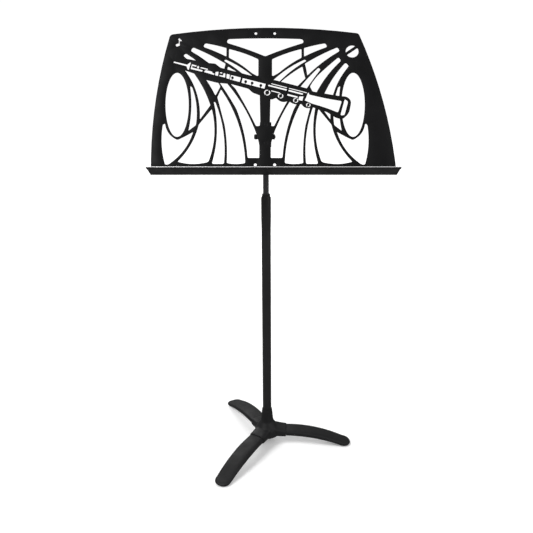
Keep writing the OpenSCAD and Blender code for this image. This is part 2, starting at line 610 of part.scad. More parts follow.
module base_hub() color(satin_black) difference() {
    union() {
        rotate_extrude() polygon([
            [0, hub_bottom], [body_r - 3, hub_bottom], [body_r - 1, hub_bottom + 1], [body_r, hub_bottom + 3.5],
            [body_r, hub_bottom + 9], [body_r - 2, hub_bottom + 17], [body_r - 6, hub_bottom + 25],
            [body_r - 10.5, hub_bottom + 32], [neck_r + 0.8, hub_bottom + 38],
            [neck_r, hub_bottom + 44], [outer_d / 2 + 2.2, hub_top - 4], [outer_d / 2 + 2.4, hub_top - 2],
            [outer_d / 2 + 1.8, hub_top], [0, hub_top],
        ]);
        for (a = leg_angles) rotate(a) hub_arm();
    }
    for (a = leg_angles) rotate(a) {
        swept([for (x = [leg_start, arm_end + 2 * cut]) [x, leg_root_h, leg_w / 2 + seat_fit, leg_t / 2 + seat_fit]]);
        translate([leg_screw_r, 0, hub_bottom - cut]) cylinder(hub_wall + 2 * cut, d = leg_screw_d + 2 * bolt_fit);
    }
    translate([0, 0, tube_foot]) cylinder(hub_top, d = outer_d + 2 * seat_fit);
    translate([0, 0, hub_bottom - cut]) cylinder(socket_floor + 2 * cut, d = base_bolt_d + 2 * bolt_fit);
}

module screw(d, l, head_d, head_t) {
    translate([0, 0, -head_t]) difference() {
        cylinder(head_t, head_d / 2 - head_t / 3, head_d / 2);
        translate([0, 0, -cut]) cylinder(head_t * 0.6 + cut, d = d * 0.6, $fn = 6);
    }
    cylinder(l, d = d);
}

module leg_screws() color(steel) for (a = leg_angles) rotate(a)
    translate([leg_screw_r, 0, hub_bottom]) screw(leg_screw_d, leg_screw_l, 1.8 * leg_screw_d, 0.55 * leg_screw_d);

module base_bolt() color(steel) translate([0, 0, hub_bottom - base_washer_t])
    screw(base_bolt_d, base_washer_t + socket_floor + anchor_l - 4, 1.7 * base_bolt_d, 0.65 * base_bolt_d);

module base_washer() color(steel) translate([0, 0, hub_bottom - base_washer_t]) difference() {
    cylinder(base_washer_t, d = 2.6 * base_bolt_d);
    translate([0, 0, -cut]) cylinder(base_washer_t + 2 * cut, d = base_bolt_d + 2 * bolt_fit);
}

base_hub();
leg_right();
leg_front_left();
leg_rear_left();
leg_screws();
foot_pad_right();
foot_pad_front_left();
foot_pad_rear_left();
outer_tube();
tube_anchor_plug();
base_bolt();
base_washer();
clutch_collar();
clutch_insert();
guide_bush();
inner_tube();
tube_end_plug();
bush_retaining_ring();
tilt_head();
head_pin();
desk_panel();
ledge();
desk_bracket();
bracket_rivets();
ledge_rivets();
tilt_bolt();
tilt_nut();
friction_washers();
flat_washers();
spring_washers();
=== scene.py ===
import json
import logging
import math
from collections.abc import Callable
from dataclasses import dataclass, field
from enum import Enum

import bmesh
import bpy
from mathutils import Matrix, Vector


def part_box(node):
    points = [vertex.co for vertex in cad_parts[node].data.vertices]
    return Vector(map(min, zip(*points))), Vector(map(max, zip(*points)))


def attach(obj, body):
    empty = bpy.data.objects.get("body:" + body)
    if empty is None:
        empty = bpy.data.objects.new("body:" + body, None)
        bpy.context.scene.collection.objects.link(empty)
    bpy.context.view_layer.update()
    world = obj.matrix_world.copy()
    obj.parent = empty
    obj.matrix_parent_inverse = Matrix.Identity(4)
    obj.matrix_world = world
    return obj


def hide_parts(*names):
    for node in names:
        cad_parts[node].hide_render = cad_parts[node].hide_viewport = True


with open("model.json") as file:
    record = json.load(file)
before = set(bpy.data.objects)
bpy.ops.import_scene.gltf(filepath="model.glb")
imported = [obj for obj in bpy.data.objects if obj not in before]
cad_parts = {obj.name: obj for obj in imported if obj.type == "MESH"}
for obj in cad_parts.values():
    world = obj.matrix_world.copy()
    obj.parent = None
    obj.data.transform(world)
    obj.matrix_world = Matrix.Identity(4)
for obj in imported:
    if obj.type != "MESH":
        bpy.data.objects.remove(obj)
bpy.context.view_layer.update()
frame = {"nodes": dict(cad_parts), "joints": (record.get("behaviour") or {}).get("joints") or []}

Point = tuple[float, float]
Triple = tuple[float, float, float]
Shape = bmesh.types.BMesh
Socket = bpy.types.NodeSocket
Ring = Callable[[float], Point]     # a corner's radius and height, from its angle

log = logging.getLogger("music_stand")
MM = 0.001
WELD = 0.004 * MM                   # corners closer than this are one
SHARP = math.radians(30)            # faces that meet at more than this have an edge


# ---------------------------------------------------------------- finishes

class Skin(Enum):
    """What a finish looks like close up."""

    POWDER = "powder"
    CAST = "cast"
    DRAWN = "drawn"
    PLATED = "plated"
    MOULDED = "moulded"


@dataclass(frozen=True)
class Grain:
    """The relief of a skin: two sizes of bump, and how far the pattern is stretched."""

    fine: float
    fine_relief: float
    broad: float
    broad_relief: float
    stretch: Triple = (1.0, 1.0, 1.0)


GRAINS: dict[Skin, Grain] = {
    Skin.POWDER: Grain(0.5 * MM, 0.02 * MM, 2.4 * MM, 0.03 * MM),
    Skin.CAST: Grain(0.7 * MM, 0.05 * MM, 6 * MM, 0.12 * MM),
    Skin.DRAWN: Grain(0.25 * MM, 0.012 * MM, 1.5 * MM, 0.02 * MM, (1.0, 1.0, 0.02)),
    Skin.PLATED: Grain(0.3 * MM, 0.01 * MM, 1.5 * MM, 0.015 * MM),
    Skin.MOULDED: Grain(0.4 * MM, 0.02 * MM, 4 * MM, 0.04 * MM),
}


@dataclass(frozen=True)
class Wear:
    """The patterns of tone, gloss and dust that every finish shares."""

    cloud: float = 60 * MM
    handled: float = 22 * MM
    fleck_share: float = 0.35
    fleck_edges: Point = (0.45, 0.75)
    speck: float = 1.3 * MM
    speck_edges: Point = (0.72, 0.8)
    speck_paler: float = 0.09


WEAR = Wear()


class Graph:
    """A short way to write a material's nodes."""

    MIX_FIRST, MIX_SECOND, MIX_RESULT = 6, 7, 2     # a Mix node's colour sockets

    def __init__(self, name: str) -> None:
        """Makes an empty node material.

        Args:
            name: the material's name.
        """
        self.material = bpy.data.materials.new(name)
        self.material.use_nodes = True
        self.tree = self.material.node_tree
        self.shader = self.tree.nodes["Principled BSDF"]

    def add(self, kind: str, **settings: object) -> bpy.types.Node:
        """Adds a node.

        Args:
            kind: the node's type, without the ShaderNode in front.
            settings: its properties by name.

        Returns:
            The node.
        """
        node = self.tree.nodes.new("ShaderNode" + kind)
        for name, value in settings.items():
            setattr(node, name, value)
        return node

    def join(self, source: Socket, target: Socket) -> None:
        """Links two sockets."""
        self.tree.links.new(source, target)

    def place(self, stretch: Triple = (1.0, 1.0, 1.0)) -> Socket:
        """The piece's own coordinates, stretched along an axis.

        Args:
            stretch: the scale of the pattern on each axis.

        Returns:
            The socket that carries the coordinates.
        """
        coordinates = self.add("TexCoord")
        mapping = self.add("Mapping")
        mapping.inputs["Scale"].default_value = stretch
        self.join(coordinates.outputs["Object"], mapping.inputs["Vector"])
        return mapping.outputs["Vector"]

    def noise(self, place: Socket, size: float, detail: float = 2.0) -> Socket:
        """A noise pattern.

        Args:
            place: the coordinates that it reads.
            size: the size of its features, in metres.
            detail: how many finer layers it carries.

        Returns:
            Its grey value.
        """
        node = self.add("TexNoise")
        node.inputs["Scale"].default_value = 1.0 / size
        node.inputs["Detail"].default_value = detail
        self.join(place, node.inputs["Vector"])
        return node.outputs["Fac"]

    def spread(self, value: Socket, low: float, high: float, edges: Point = (0.3, 0.7)) -> Socket:
        """Maps a grey pattern to a range of values.

        Args:
            value: the pattern.
            low: what the dark end becomes.
            high: what the light end becomes.
            edges: the grey levels taken as the two ends.

        Returns:
            The mapped value.
        """
        node = self.add("MapRange", interpolation_type="SMOOTHSTEP")
        node.inputs["From Min"].default_value = edges[0]
        node.inputs["From Max"].default_value = edges[1]
        node.inputs["To Min"].default_value = low
        node.inputs["To Max"].default_value = high
        self.join(value, node.inputs["Value"])
        return node.outputs["Result"]

    def blend(self, share: Socket, base: Socket | Triple, other: Triple) -> Socket:
        """Mixes a second colour over a first.

        Args:
            share: how much of the second colour shows.
            base: the first colour, or a socket that carries it.
            other: the second colour.

        Returns:
            The mixed colour.
        """
        node = self.add("Mix", data_type="RGBA")
        self.join(share, node.inputs["Factor"])
        if isinstance(base, tuple):
            node.inputs[self.MIX_FIRST].default_value = (*base, 1.0)
        else:
            self.join(base, node.inputs[self.MIX_FIRST])
        node.inputs[self.MIX_SECOND].default_value = (*other, 1.0)
        return node.outputs[self.MIX_RESULT]

    def bump(self, height: Socket, relief: float, under: Socket | None = None) -> Socket:
        """Turns a height pattern into a normal.

        Args:
            height: the pattern.
            relief: the height of its full range, in metres.
            under: a normal that it adds to.

        Returns:
            The normal.
        """
        node = self.add("Bump")
        node.inputs["Distance"].default_value = relief
        self.join(height, node.inputs["Height"])
        if under is not None:
            self.join(under, node.inputs["Normal"])
        return node.outputs["Normal"]


@dataclass(frozen=True)
class Finish:
    """A surface: its colours, its gloss and its skin."""

    name: str
    slot: str
    skin: Skin
    colour: Triple
    drift: Triple
    roughness: Point
    metallic: float = 0.0
    specular: float = 0.5
    dust: float = 0.0

    def tone(self, graph: Graph, whole: Socket, fine: Socket) -> Socket:
        """The colour, which drifts slowly, is flecked by the grain and may carry dust.

        Args:
            graph: the material's nodes.
            whole: the piece's own coordinates.
            fine: the fine bumps of the skin.

        Returns:
            The socket that carries the colour.
        """
        cloud = graph.noise(whole, WEAR.cloud, detail=4.0)
        colour = graph.blend(graph.spread(cloud, 0.0, 1.0), self.colour, self.drift)
        flecks = graph.spread(fine, 0.0, WEAR.fleck_share, WEAR.fleck_edges)
        colour = graph.blend(flecks, colour, self.drift)
        if self.dust:
            specks = graph.noise(whole, WEAR.speck, detail=1.0)
            pale = tuple(channel + WEAR.speck_paler for channel in self.drift)
            share = graph.spread(specks, 0.0, self.dust, WEAR.speck_edges)
            colour = graph.blend(share, colour, pale)
        return colour

    def material(self) -> bpy.types.Material:
        """The finish as a node material, made once.

        Returns:
            The material.
        """
        made = bpy.data.materials.get(self.name)
        if made is not None:
            return made
        graph, grain = Graph(self.name), GRAINS[self.skin]
        place, whole = graph.place(grain.stretch), graph.place()
        handled = graph.noise(whole, WEAR.handled, detail=5.0)
        fine = graph.noise(place, grain.fine)
        waves = graph.bump(graph.noise(place, grain.broad), grain.broad_relief)
        inputs = graph.shader.inputs
        graph.join(self.tone(graph, whole, fine), inputs["Base Color"])
        graph.join(graph.spread(handled, *self.roughness), inputs["Roughness"])
        graph.join(graph.bump(fine, grain.fine_relief, waves), inputs["Normal"])
        inputs["Metallic"].default_value = self.metallic
        inputs["Specular IOR Level"].default_value = self.specular
        return graph.material


DESK_PAINT = Finish(
    "satin_powder_coat", "desk_paint", Skin.POWDER, (0.0042, 0.0042, 0.0045),
    (0.0056, 0.0056, 0.006), (0.46, 0.56), specular=0.08, dust=0.2)
DESK_EDGE = Finish(
    "thin_coat_on_punched_edge", "desk_paint", Skin.POWDER, (0.009, 0.009, 0.0095),
    (0.014, 0.014, 0.0145), (0.4, 0.5), specular=0.2)
# A painted highlight: a near-white colour on the upper fold of the ledge's hem, drawn as a bright
# line along the front edge and given the look of bare rubbed metal.
HEM_PAINTED_HIGHLIGHT = Finish(
    "hem_painted_highlight", "desk_paint", Skin.PLATED, (0.62, 0.62, 0.63),
    (0.7, 0.7, 0.7), (0.35, 0.5), metallic=0.2)
BASE_COAT = Finish(
    "textured_base_coat", "base_casting", Skin.CAST, (0.0075, 0.0075, 0.008),
    (0.011, 0.011, 0.0115), (0.46, 0.6), specular=0.2, dust=0.25)
POST_PAINT = Finish(
    "satin_post_paint", "post_paint", Skin.POWDER, (0.009, 0.009, 0.0095),
    (0.0115, 0.0115, 0.012), (0.4, 0.52), specular=0.2, dust=0.15)
BLACKENED = Finish(
    "blackened_drawn_steel", "inner_tube_steel", Skin.DRAWN, (0.05, 0.05, 0.053),
    (0.085, 0.085, 0.09), (0.24, 0.36), metallic=0.85)
OXIDE = Finish(
    "black_oxide_steel", "fastener", Skin.PLATED, (0.03, 0.03, 0.033),
    (0.05, 0.048, 0.047), (0.3, 0.45), metallic=0.85)
NYLON = Finish(
    "black_nylon", "bush_plastic", Skin.MOULDED, (0.014, 0.014, 0.015),
    (0.02, 0.02, 0.021), (0.45, 0.6), specular=0.25)
RUBBER = Finish(
    "foot_rubber", "pad_rubber", Skin.MOULDED, (0.01, 0.01, 0.01),
    (0.017, 0.017, 0.016), (0.7, 0.85), specular=0.15, dust=0.4)


# ---------------------------------------------------------------- shaping

def joint_place(name: str) -> Vector:
    """Where a joint of the frame stands at rest."""
    return Vector(next(joint["pos_m"] for joint in frame["joints"] if joint["name"] == name))


def from_node(node: str) -> Shape:
    """A merged copy of a frame node's mesh.

    Args:
        node: the node's name.

    Returns:
        The copy, with each corner once.
    """
    shape = bmesh.new()
    shape.from_mesh(frame["nodes"][node].data)
    bmesh.ops.remove_doubles(shape, verts=shape.verts, dist=WELD)
    for face in shape.faces:
        face.material_index = 0
    return shape


def sharp_edges(shape: Shape, angle: float = SHARP) -> list[bmesh.types.BMEdge]:
    """The edges where two faces meet at more than an angle."""
    return [e for e in shape.edges if e.is_manifold and e.calc_face_angle() > angle]


def soften(shape: Shape, width: float, segments: int = 2, material: int = -1) -> None:
    """Rounds the sharp edges of a shape.

    Args:
        shape: the shape.
        width: the size of the rounding, in metres.
        segments: how many faces it has across.
        material: the slot that the rounding gets, or -1 for its neighbours'.
    """
    bmesh.ops.bevel(shape, geom=sharp_edges(shape), offset=width, offset_type="OFFSET",
                    affect="EDGES", segments=segments, profile=0.5, material=material,
                    clamp_overlap=False)


def arc(centre: Point, radius: float, start: float, end: float, steps: int = 6) -> list[Point]:
    """Points along a circular arc.

    Args:
        centre: its centre.
        radius: its radius.
        start: the angle of the first point, in degrees.
        end: the angle of the last point, in degrees.
        steps: how many chords it has.

    Returns:
        The points.
    """
    turns = [math.radians(start + (end - start) * k / steps) for k in range(steps + 1)]
    return [(centre[0] + radius * math.cos(a), centre[1] + radius * math.sin(a)) for a in turns]


def round_ring(radius: float, height: float) -> Ring:
    """A plain circle of a stacked shape."""
    return lambda angle: (radius, height)


def hex_ring(flats: float, height: float, chamfer: float = 0.0) -> Ring:
    """A hexagon of a stacked shape, whose corners a chamfer may take down.

    Args:
        flats: the width across its flats.
        height: the height of the middle of each side.
        chamfer: how steeply the height changes towards the corners.

    Returns:
        The ring.
    """
    side = math.pi / 3

    def ring(angle: float) -> Point:
        """The hexagon's corner at an angle."""
        radius = flats / 2 / math.cos((angle + side / 2) % side - side / 2)
        return radius, height + chamfer * (radius - flats / 2)
    return ring


def thread_ring(radius: float, height: float, pitch: float, depth: float) -> Ring:
    """A circle that dips where the groove of a screw thread passes.

    Args:
        radius: the radius over the crests.
        height: the ring's height.
        pitch: the thread's pitch.
        depth: the groove's depth.

    Returns:
        The ring.
    """
    def ring(angle: float) -> Point:
        """The circle's corner at an angle."""
        phase = (height / pitch + angle / math.tau) % 1.0
        return radius - depth * (1 - abs(2 * phase - 1)), height
    return ring


def stacked(rings: list[Ring], segments: int = 72, hollow: bool = False) -> Shape:
    """Joins rings about +Z into one closed skin, each an extrusion of the last.

    Args:
        rings: the rings in order, from one end to the other.
        segments: how many corners each has.
        hollow: whether the last ring joins the first, as on a tube, or both are filled.

    Returns:
        The shape.
    """
    shape = bmesh.new()
    loop = list(bmesh.ops.create_circle(shape, segments=segments, radius=1.0)["verts"])
    edges = list(shape.edges)
    first = edges
    for number, ring in enumerate(rings):
        if number:
            made = bmesh.ops.extrude_edge_only(shape, edges=edges)["geom"]
            loop = [part for part in made if isinstance(part, bmesh.types.BMVert)]
            fresh = set(loop)
            edges = [part for part in made if isinstance(part, bmesh.types.BMEdge)
                     and part.verts[0] in fresh and part.verts[1] in fresh]
        for corner in loop:
            angle = math.atan2(corner.co.y, corner.co.x)
            radius, height = ring(angle)
            corner.co = (radius * math.cos(angle), radius * math.sin(angle), height)
    if hollow:
        bmesh.ops.bridge_loops(shape, edges=first + edges)
    else:
        bmesh.ops.edgeloop_fill(shape, edges=first)
        bmesh.ops.edgeloop_fill(shape, edges=edges)
    bmesh.ops.recalc_face_normals(shape, faces=shape.faces)
    return shape


def coil(inner: float, outer: float, height: float, rise: float, gap: float) -> Shape:
    """A split spring washer about +Z: a square bar bent round, its ends a step apart.

    Args:
        inner: the radius of its hole.
        outer: its outer radius.
        height: the height of the whole washer.
        rise: how far one end stands above the other.
        gap: the width of the split.

    Returns:
        The washer, lying on z = 0.
    """
    shape = bmesh.new()
    bar, steps, eased = height - rise, 60, 0.12 * MM
    corners = [(inner, 0, 0), (outer, 0, 0), (outer, 0, bar), (inner, 0, bar)]
    face = shape.faces.new([shape.verts.new(corner) for corner in corners])
    bmesh.ops.spin(shape, geom=[face, *face.edges, *face.verts], cent=(0, 0, 0), axis=(0, 0, 1),
                   dvec=(0, 0, rise / steps), angle=math.tau - gap / outer, steps=steps)
    bmesh.ops.recalc_face_normals(shape, faces=shape.faces)
    soften(shape, eased, segments=1)
    return shape


def merged(*shapes: Shape) -> Shape:
    """Several shapes as one, each still closed by itself.

    Args:
        shapes: the shapes, which are used up.

    Returns:
        The one shape.
    """
    whole = bmesh.new()
    for shape in shapes:
        step = bpy.data.meshes.new("step")
        shape.to_mesh(step)
        shape.free()
        whole.from_mesh(step)
        bpy.data.meshes.remove(step)
    return whole


def remeshed(shape: Shape, voxel: float) -> Shape:
    """The same skin in even squares, which smoothing can then round.

    Args:
        shape: the shape, which is used up.
        voxel: the size of the squares.

    Returns:
        The new skin.
    """
    mesh = bpy.data.meshes.new("step")
    shape.to_mesh(mesh)
    shape.free()
    step = bpy.data.objects.new("step", mesh)
    bpy.context.scene.collection.objects.link(step)
    remesh = step.modifiers.new("even", "REMESH")
    remesh.mode = "VOXEL"
    remesh.voxel_size = voxel
    even = step.evaluated_get(bpy.context.evaluated_depsgraph_get())
    fresh = bmesh.new()
    fresh.from_mesh(even.to_mesh())
    even.to_mesh_clear()
    bpy.data.objects.remove(step)
    bpy.data.meshes.remove(mesh)
    return fresh


@dataclass
class Bench:
    """Turns finished shapes into pieces that ride on the frame, and lists them."""

    pieces: list[bpy.types.Object] = field(default_factory=list)

    def place(self, shape: Shape, name: str, body: str, finishes: list[Finish],
              replaces: tuple[str, ...] = (), smooth: float = SHARP) -> bpy.types.Object:
        """Makes a piece out of a shape.

        Args:
            shape: the shape, in the frame's own place.
            name: the piece's name.
            body: the body that carries it.
            finishes: its finishes, in slot order.
            replaces: the frame nodes that it stands for.
            smooth: faces that meet at less than this angle are shaded as one.

        Returns:
            The piece.
        """
        for edge in shape.edges:
            edge.smooth = not (edge.is_manifold and edge.calc_face_angle() > smooth)
        for face in shape.faces:
            face.smooth = True
        mesh = bpy.data.meshes.new(name)
        shape.to_mesh(mesh)
        shape.free()
        piece = bpy.data.objects.new(name, mesh)
        bpy.context.scene.collection.objects.link(piece)
        for finish in finishes:
            mesh.materials.append(finish.material())
        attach(piece, body)
        if replaces:
            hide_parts(*replaces)
        self.pieces.append(piece)
        return piece

    def ease(self, node: str, name: str, body: str, finish: Finish, width: float,
             segments: int = 2) -> bpy.types.Object:
        """Makes a piece from a frame node by rounding its sharp edges.

        Args:
            node: the node that it stands for.
            name: the piece's name.
            body: the body that carries it.
            finish: its finish.
            width: the size of the rounding.
            segments: how many faces the rounding has.

        Returns:
            The piece.
        """
        shape = from_node(node)
        soften(shape, width, segments)
        return self.place(shape, name, body, [finish], (node,))

    def keep(self, node: str, finish: Finish) -> bpy.types.Object:
        """Dresses a frame node that stays as it is.

        Args:
            node: the node's name.
            finish: its finish.

        Returns:
            The node's object.
        """
        piece = frame["nodes"][node]
        for slot in piece.material_slots:
            slot.material = finish.material()
        self.pieces.append(piece)
        return piece


# ---------------------------------------------------------------- desk

@dataclass
class DeskPlane:
    """The leaning plane of the desk: x across, y up the panel, z out of its front."""

    lean: float = 30.0
    axis_up: float = 86 * MM
    axis_back: float = 20 * MM

    def matrix(self) -> Matrix:
        """The way from the desk's own plane to the frame.

        Returns:
            The matrix.
        """
        turn = Matrix.Rotation(math.radians(90 - self.lean), 4, "X")
        fold = joint_place("desk_tilt") - turn @ Vector((0, self.axis_up, -self.axis_back))
        return Matrix.Translation(fold) @ turn


@dataclass
class Desk:
    """The pierced panel with its ledge, its bracket and their rivets."""

    bench: Bench
    plane: DeskPlane = field(default_factory=DeskPlane)
    panel_t: float = 2 * MM
    sheet_t: float = 1.45 * MM
    ledge_depth: float = 58 * MM
    hem_depth: float = 10 * MM
    flange_h: float = 14 * MM
    bend_r: float = 1.4 * MM
    hem_r: float = 0.76 * MM
    sheet_edge: float = 0.2 * MM
    cut_angle: float = math.radians(60)
    bracket_edge: float = 0.4 * MM
    rivet_edge: float = 0.08 * MM

    def panel(self) -> None:
        """The panel, with its punched edges eased and their coat thin."""
        shape = from_node("desk_panel")
        finishes = [DESK_PAINT, DESK_EDGE]
        soften(shape, self.sheet_edge, material=finishes.index(DESK_EDGE))
        self.bench.place(shape, "desk_sheet", "desk", finishes, ("desk_panel",))

    def ledge_section(self) -> list[Point]:
        """The middle line of the ledge's sheet, as places out of the panel and up it.

        Returns:
            The points, from the top of the flange to the end of the hem.
        """
        back = -self.panel_t - self.sheet_t / 2
        level = -self.sheet_t / 2
        front = self.ledge_depth - self.hem_r - self.sheet_t / 2
        corner = arc((back + self.bend_r, level + self.bend_r), self.bend_r, 180, 270)
        hem = arc((front, level - self.hem_r), self.hem_r, 90, -90, steps=8)
        end = (self.ledge_depth - self.hem_depth, level - 2 * self.hem_r)
        return [(back, self.flange_h), *corner, *hem, end]

    def ledge(self) -> None:
        """The ledge, folded up behind the panel and hemmed under its front edge."""
        low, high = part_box("ledge")
        shape = bmesh.new()
        corners = [shape.verts.new((low.x, up, out)) for out, up in self.ledge_section()]
        edges = [shape.edges.new(pair) for pair in zip(corners, corners[1:])]
        made = bmesh.ops.extrude_edge_only(shape, edges=edges)["geom"]
        far = [part for part in made if isinstance(part, bmesh.types.BMVert)]
        bmesh.ops.translate(shape, verts=far, vec=(high.x - low.x, 0, 0))
        # The upper half of the hem's front fold takes the second slot: the painted highlight line,
        # a pale colour and not wear.
        painted_highlight_from = self.ledge_depth - self.hem_r - self.sheet_t / 2
        middle = -self.hem_r - self.sheet_t / 2
        for face in shape.faces:
            place = face.calc_center_median()
            face.material_index = int(place.z > painted_highlight_from and place.y > middle)
        bmesh.ops.transform(shape, matrix=self.plane.matrix(), verts=shape.verts)
        piece = self.bench.place(shape, "ledge_tray", "desk", [DESK_PAINT, HEM_PAINTED_HIGHLIGHT], ("ledge",))
        sheet = piece.modifiers.new("sheet", "SOLIDIFY")
        sheet.thickness, sheet.offset = self.sheet_t, 0.0
        sheet.use_even_offset = True
        eased = piece.modifiers.new("eased", "BEVEL")
        eased.width, eased.segments = self.sheet_edge, 2
        eased.limit_method = "ANGLE"
        eased.angle_limit = self.cut_angle

    def build(self) -> None:
        """Makes the whole desk."""
        self.panel()
        self.ledge()
        self.bench.ease("desk_bracket", "tilt_bracket", "desk", DESK_PAINT, self.bracket_edge, 3)
        for node in ("bracket_rivets", "ledge_rivets"):
            self.bench.ease(node, node + "_eased", "desk", DESK_PAINT, self.rivet_edge)


# ---------------------------------------------------------------- tilt joint

@dataclass
class TiltJoint:
    """The bolt through the head, with its nut and washers, along the tilt axis."""

    bench: Bench
    bolt_r: float = 3 * MM
    flats: float = 10.02 * MM
    chamfer: float = 0.55
    rim: float = 0.2 * MM
    head_h: float = 5 * MM
    dome_h: float = 1 * MM
    dome: tuple[Point, ...] = ((0.55, 0.0), (0.8, 0.45))    # shares of half the flats and of dome_h
    crown: tuple[Point, ...] = ((0.97, -0.1 * MM), (1.0, 0.15 * MM))    # about the foot of the dome
    seat_share: float = 0.98
    thread_pitch: float = 1 * MM
    thread_depth: float = 0.5 * MM
    thread_steps: int = 8
    thread_tip: float = 0.3 * MM
    tip_chamfer: float = 0.1 * MM
    tip_share: float = 1.2
    nut_face: float = 0.94
    bore_play: float = 0.2 * MM
    bore_chamfer: float = 0.4 * MM
    spring_play: float = 0.25 * MM
    spring_share: float = 0.97
    spring_rise: float = 0.35 * MM
    spring_gap: float = 0.9 * MM
    washer_edge: float = 0.2 * MM
    friction_edge: float = 0.12 * MM
    head_edge: float = 0.6 * MM

    def on_axis(self, shape: Shape, start: float) -> Shape:
        """Lays a shape that stands on +Z along the tilt axis.

        Args:
            shape: the shape.
            start: where its foot comes, to the right of the post.

        Returns:
            The same shape.
        """
        place = Matrix.Translation(joint_place("desk_tilt") + Vector((start, 0, 0)))
        turn = Matrix.Rotation(math.pi / 2, 4, "Y")
        bmesh.ops.transform(shape, matrix=place @ turn, verts=shape.verts)
        return shape

    def thread(self, start: float, length: float) -> list[Ring]:
        """The rings of the bolt's thread and of the chamfer at its tip.

        Args:
            start: the height where the thread begins.
            length: the height of the tip.

        Returns:
            The rings.
        """
        step = self.thread_pitch / self.thread_steps
        count = int((length - start - self.thread_tip) / self.thread_pitch * self.thread_steps)
        rings = [thread_ring(self.bolt_r, start + k * step, self.thread_pitch, self.thread_depth)
                 for k in range(count + 1)]
        tip_r = self.bolt_r - self.tip_share * self.thread_depth
        return [*rings, round_ring(self.bolt_r - self.thread_depth, length - self.tip_chamfer),
                round_ring(tip_r, length)]

    def bolt(self) -> None:
        """A hexagon bolt with a domed head and a cut thread."""
        low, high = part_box("tilt_bolt")
        nut_low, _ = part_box("tilt_nut")
        seat = self.dome_h + self.head_h
        rings = [round_ring(share * self.flats / 2, up * self.dome_h) for share, up in self.dome]
        rings += [hex_ring(share * self.flats, self.dome_h + up, self.chamfer)
                  for share, up in self.crown]
        rings += [hex_ring(self.flats, seat - self.rim),
                  hex_ring(self.seat_share * self.flats, seat), round_ring(self.bolt_r, seat)]
        rings += self.thread(nut_low.x - low.x, high.x - low.x)
        self.bench.place(self.on_axis(stacked(rings), low.x), "tilt_bolt_turned", "desk",
                         [OXIDE], ("tilt_bolt",))

    def nut(self) -> None:
        """A hexagon nut with both faces chamfered."""
        low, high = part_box("tilt_nut")
        width = high.x - low.x
        face = self.nut_face * self.flats / 2
        bore, mouth = self.bolt_r - self.bore_play, self.bolt_r + self.bore_play
        rings = [round_ring(bore, self.bore_chamfer), round_ring(mouth, 0), round_ring(face, 0),
                 hex_ring(self.flats, self.rim, self.chamfer),
                 hex_ring(self.flats, width - self.rim, -self.chamfer), round_ring(face, width),
                 round_ring(mouth, width), round_ring(bore, width - self.bore_chamfer)]
        self.bench.place(self.on_axis(stacked(rings, hollow=True), low.x), "tilt_nut_chamfered",
                         "desk", [OXIDE], ("tilt_nut",))

    def springs(self) -> None:
        """Two split spring washers under the bolt's head."""
        low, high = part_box("spring_washers")
        height = (high.x - low.x) / 2
        shapes = [self.on_axis(coil(self.bolt_r + self.spring_play, self.flats / 2,
                                    self.spring_share * height, self.spring_rise,
                                    self.spring_gap), low.x + k * height) for k in range(2)]
        self.bench.place(merged(*shapes), "split_spring_washers", "desk", [OXIDE],
                         ("spring_washers",))

    def build(self) -> None:
        """Makes the whole joint."""
        self.bolt()
        self.nut()
        self.springs()
        ease = self.bench.ease
        ease("flat_washers", "flat_washers_eased", "desk", OXIDE, self.washer_edge)
        ease("friction_washers", "friction_washers_eased", "desk", NYLON, self.friction_edge)
        ease("tilt_head", "tilt_head_eased", "post", POST_PAINT, self.head_edge, 3)
        self.bench.keep("head_pin", OXIDE)


# ---------------------------------------------------------------- post

@dataclass
class Post:
    """The telescoping tubes with the clutch collar and what slides inside."""

    bench: Bench
    outer_edge: float = 0.25 * MM
    collar_edge: float = 0.35 * MM
    insert_edge: float = 0.12 * MM
    inner_edge: float = 0.2 * MM

    def build(self) -> None:
        """Makes the whole post."""
        ease = self.bench.ease
        ease("outer_tube", "outer_tube_painted", "base", POST_PAINT, self.outer_edge)
        ease("clutch_collar", "clutch_collar_eased", "base", POST_PAINT, self.collar_edge, 3)
        ease("clutch_insert", "clutch_insert_eased", "base", NYLON, self.insert_edge)
        ease("inner_tube", "inner_tube_drawn", "post", BLACKENED, self.inner_edge)
        for node in ("tube_anchor_plug", "bush_retaining_ring"):
            self.bench.keep(node, OXIDE)
        for node in ("guide_bush", "tube_end_plug"):
            self.bench.keep(node, NYLON)


# ---------------------------------------------------------------- base

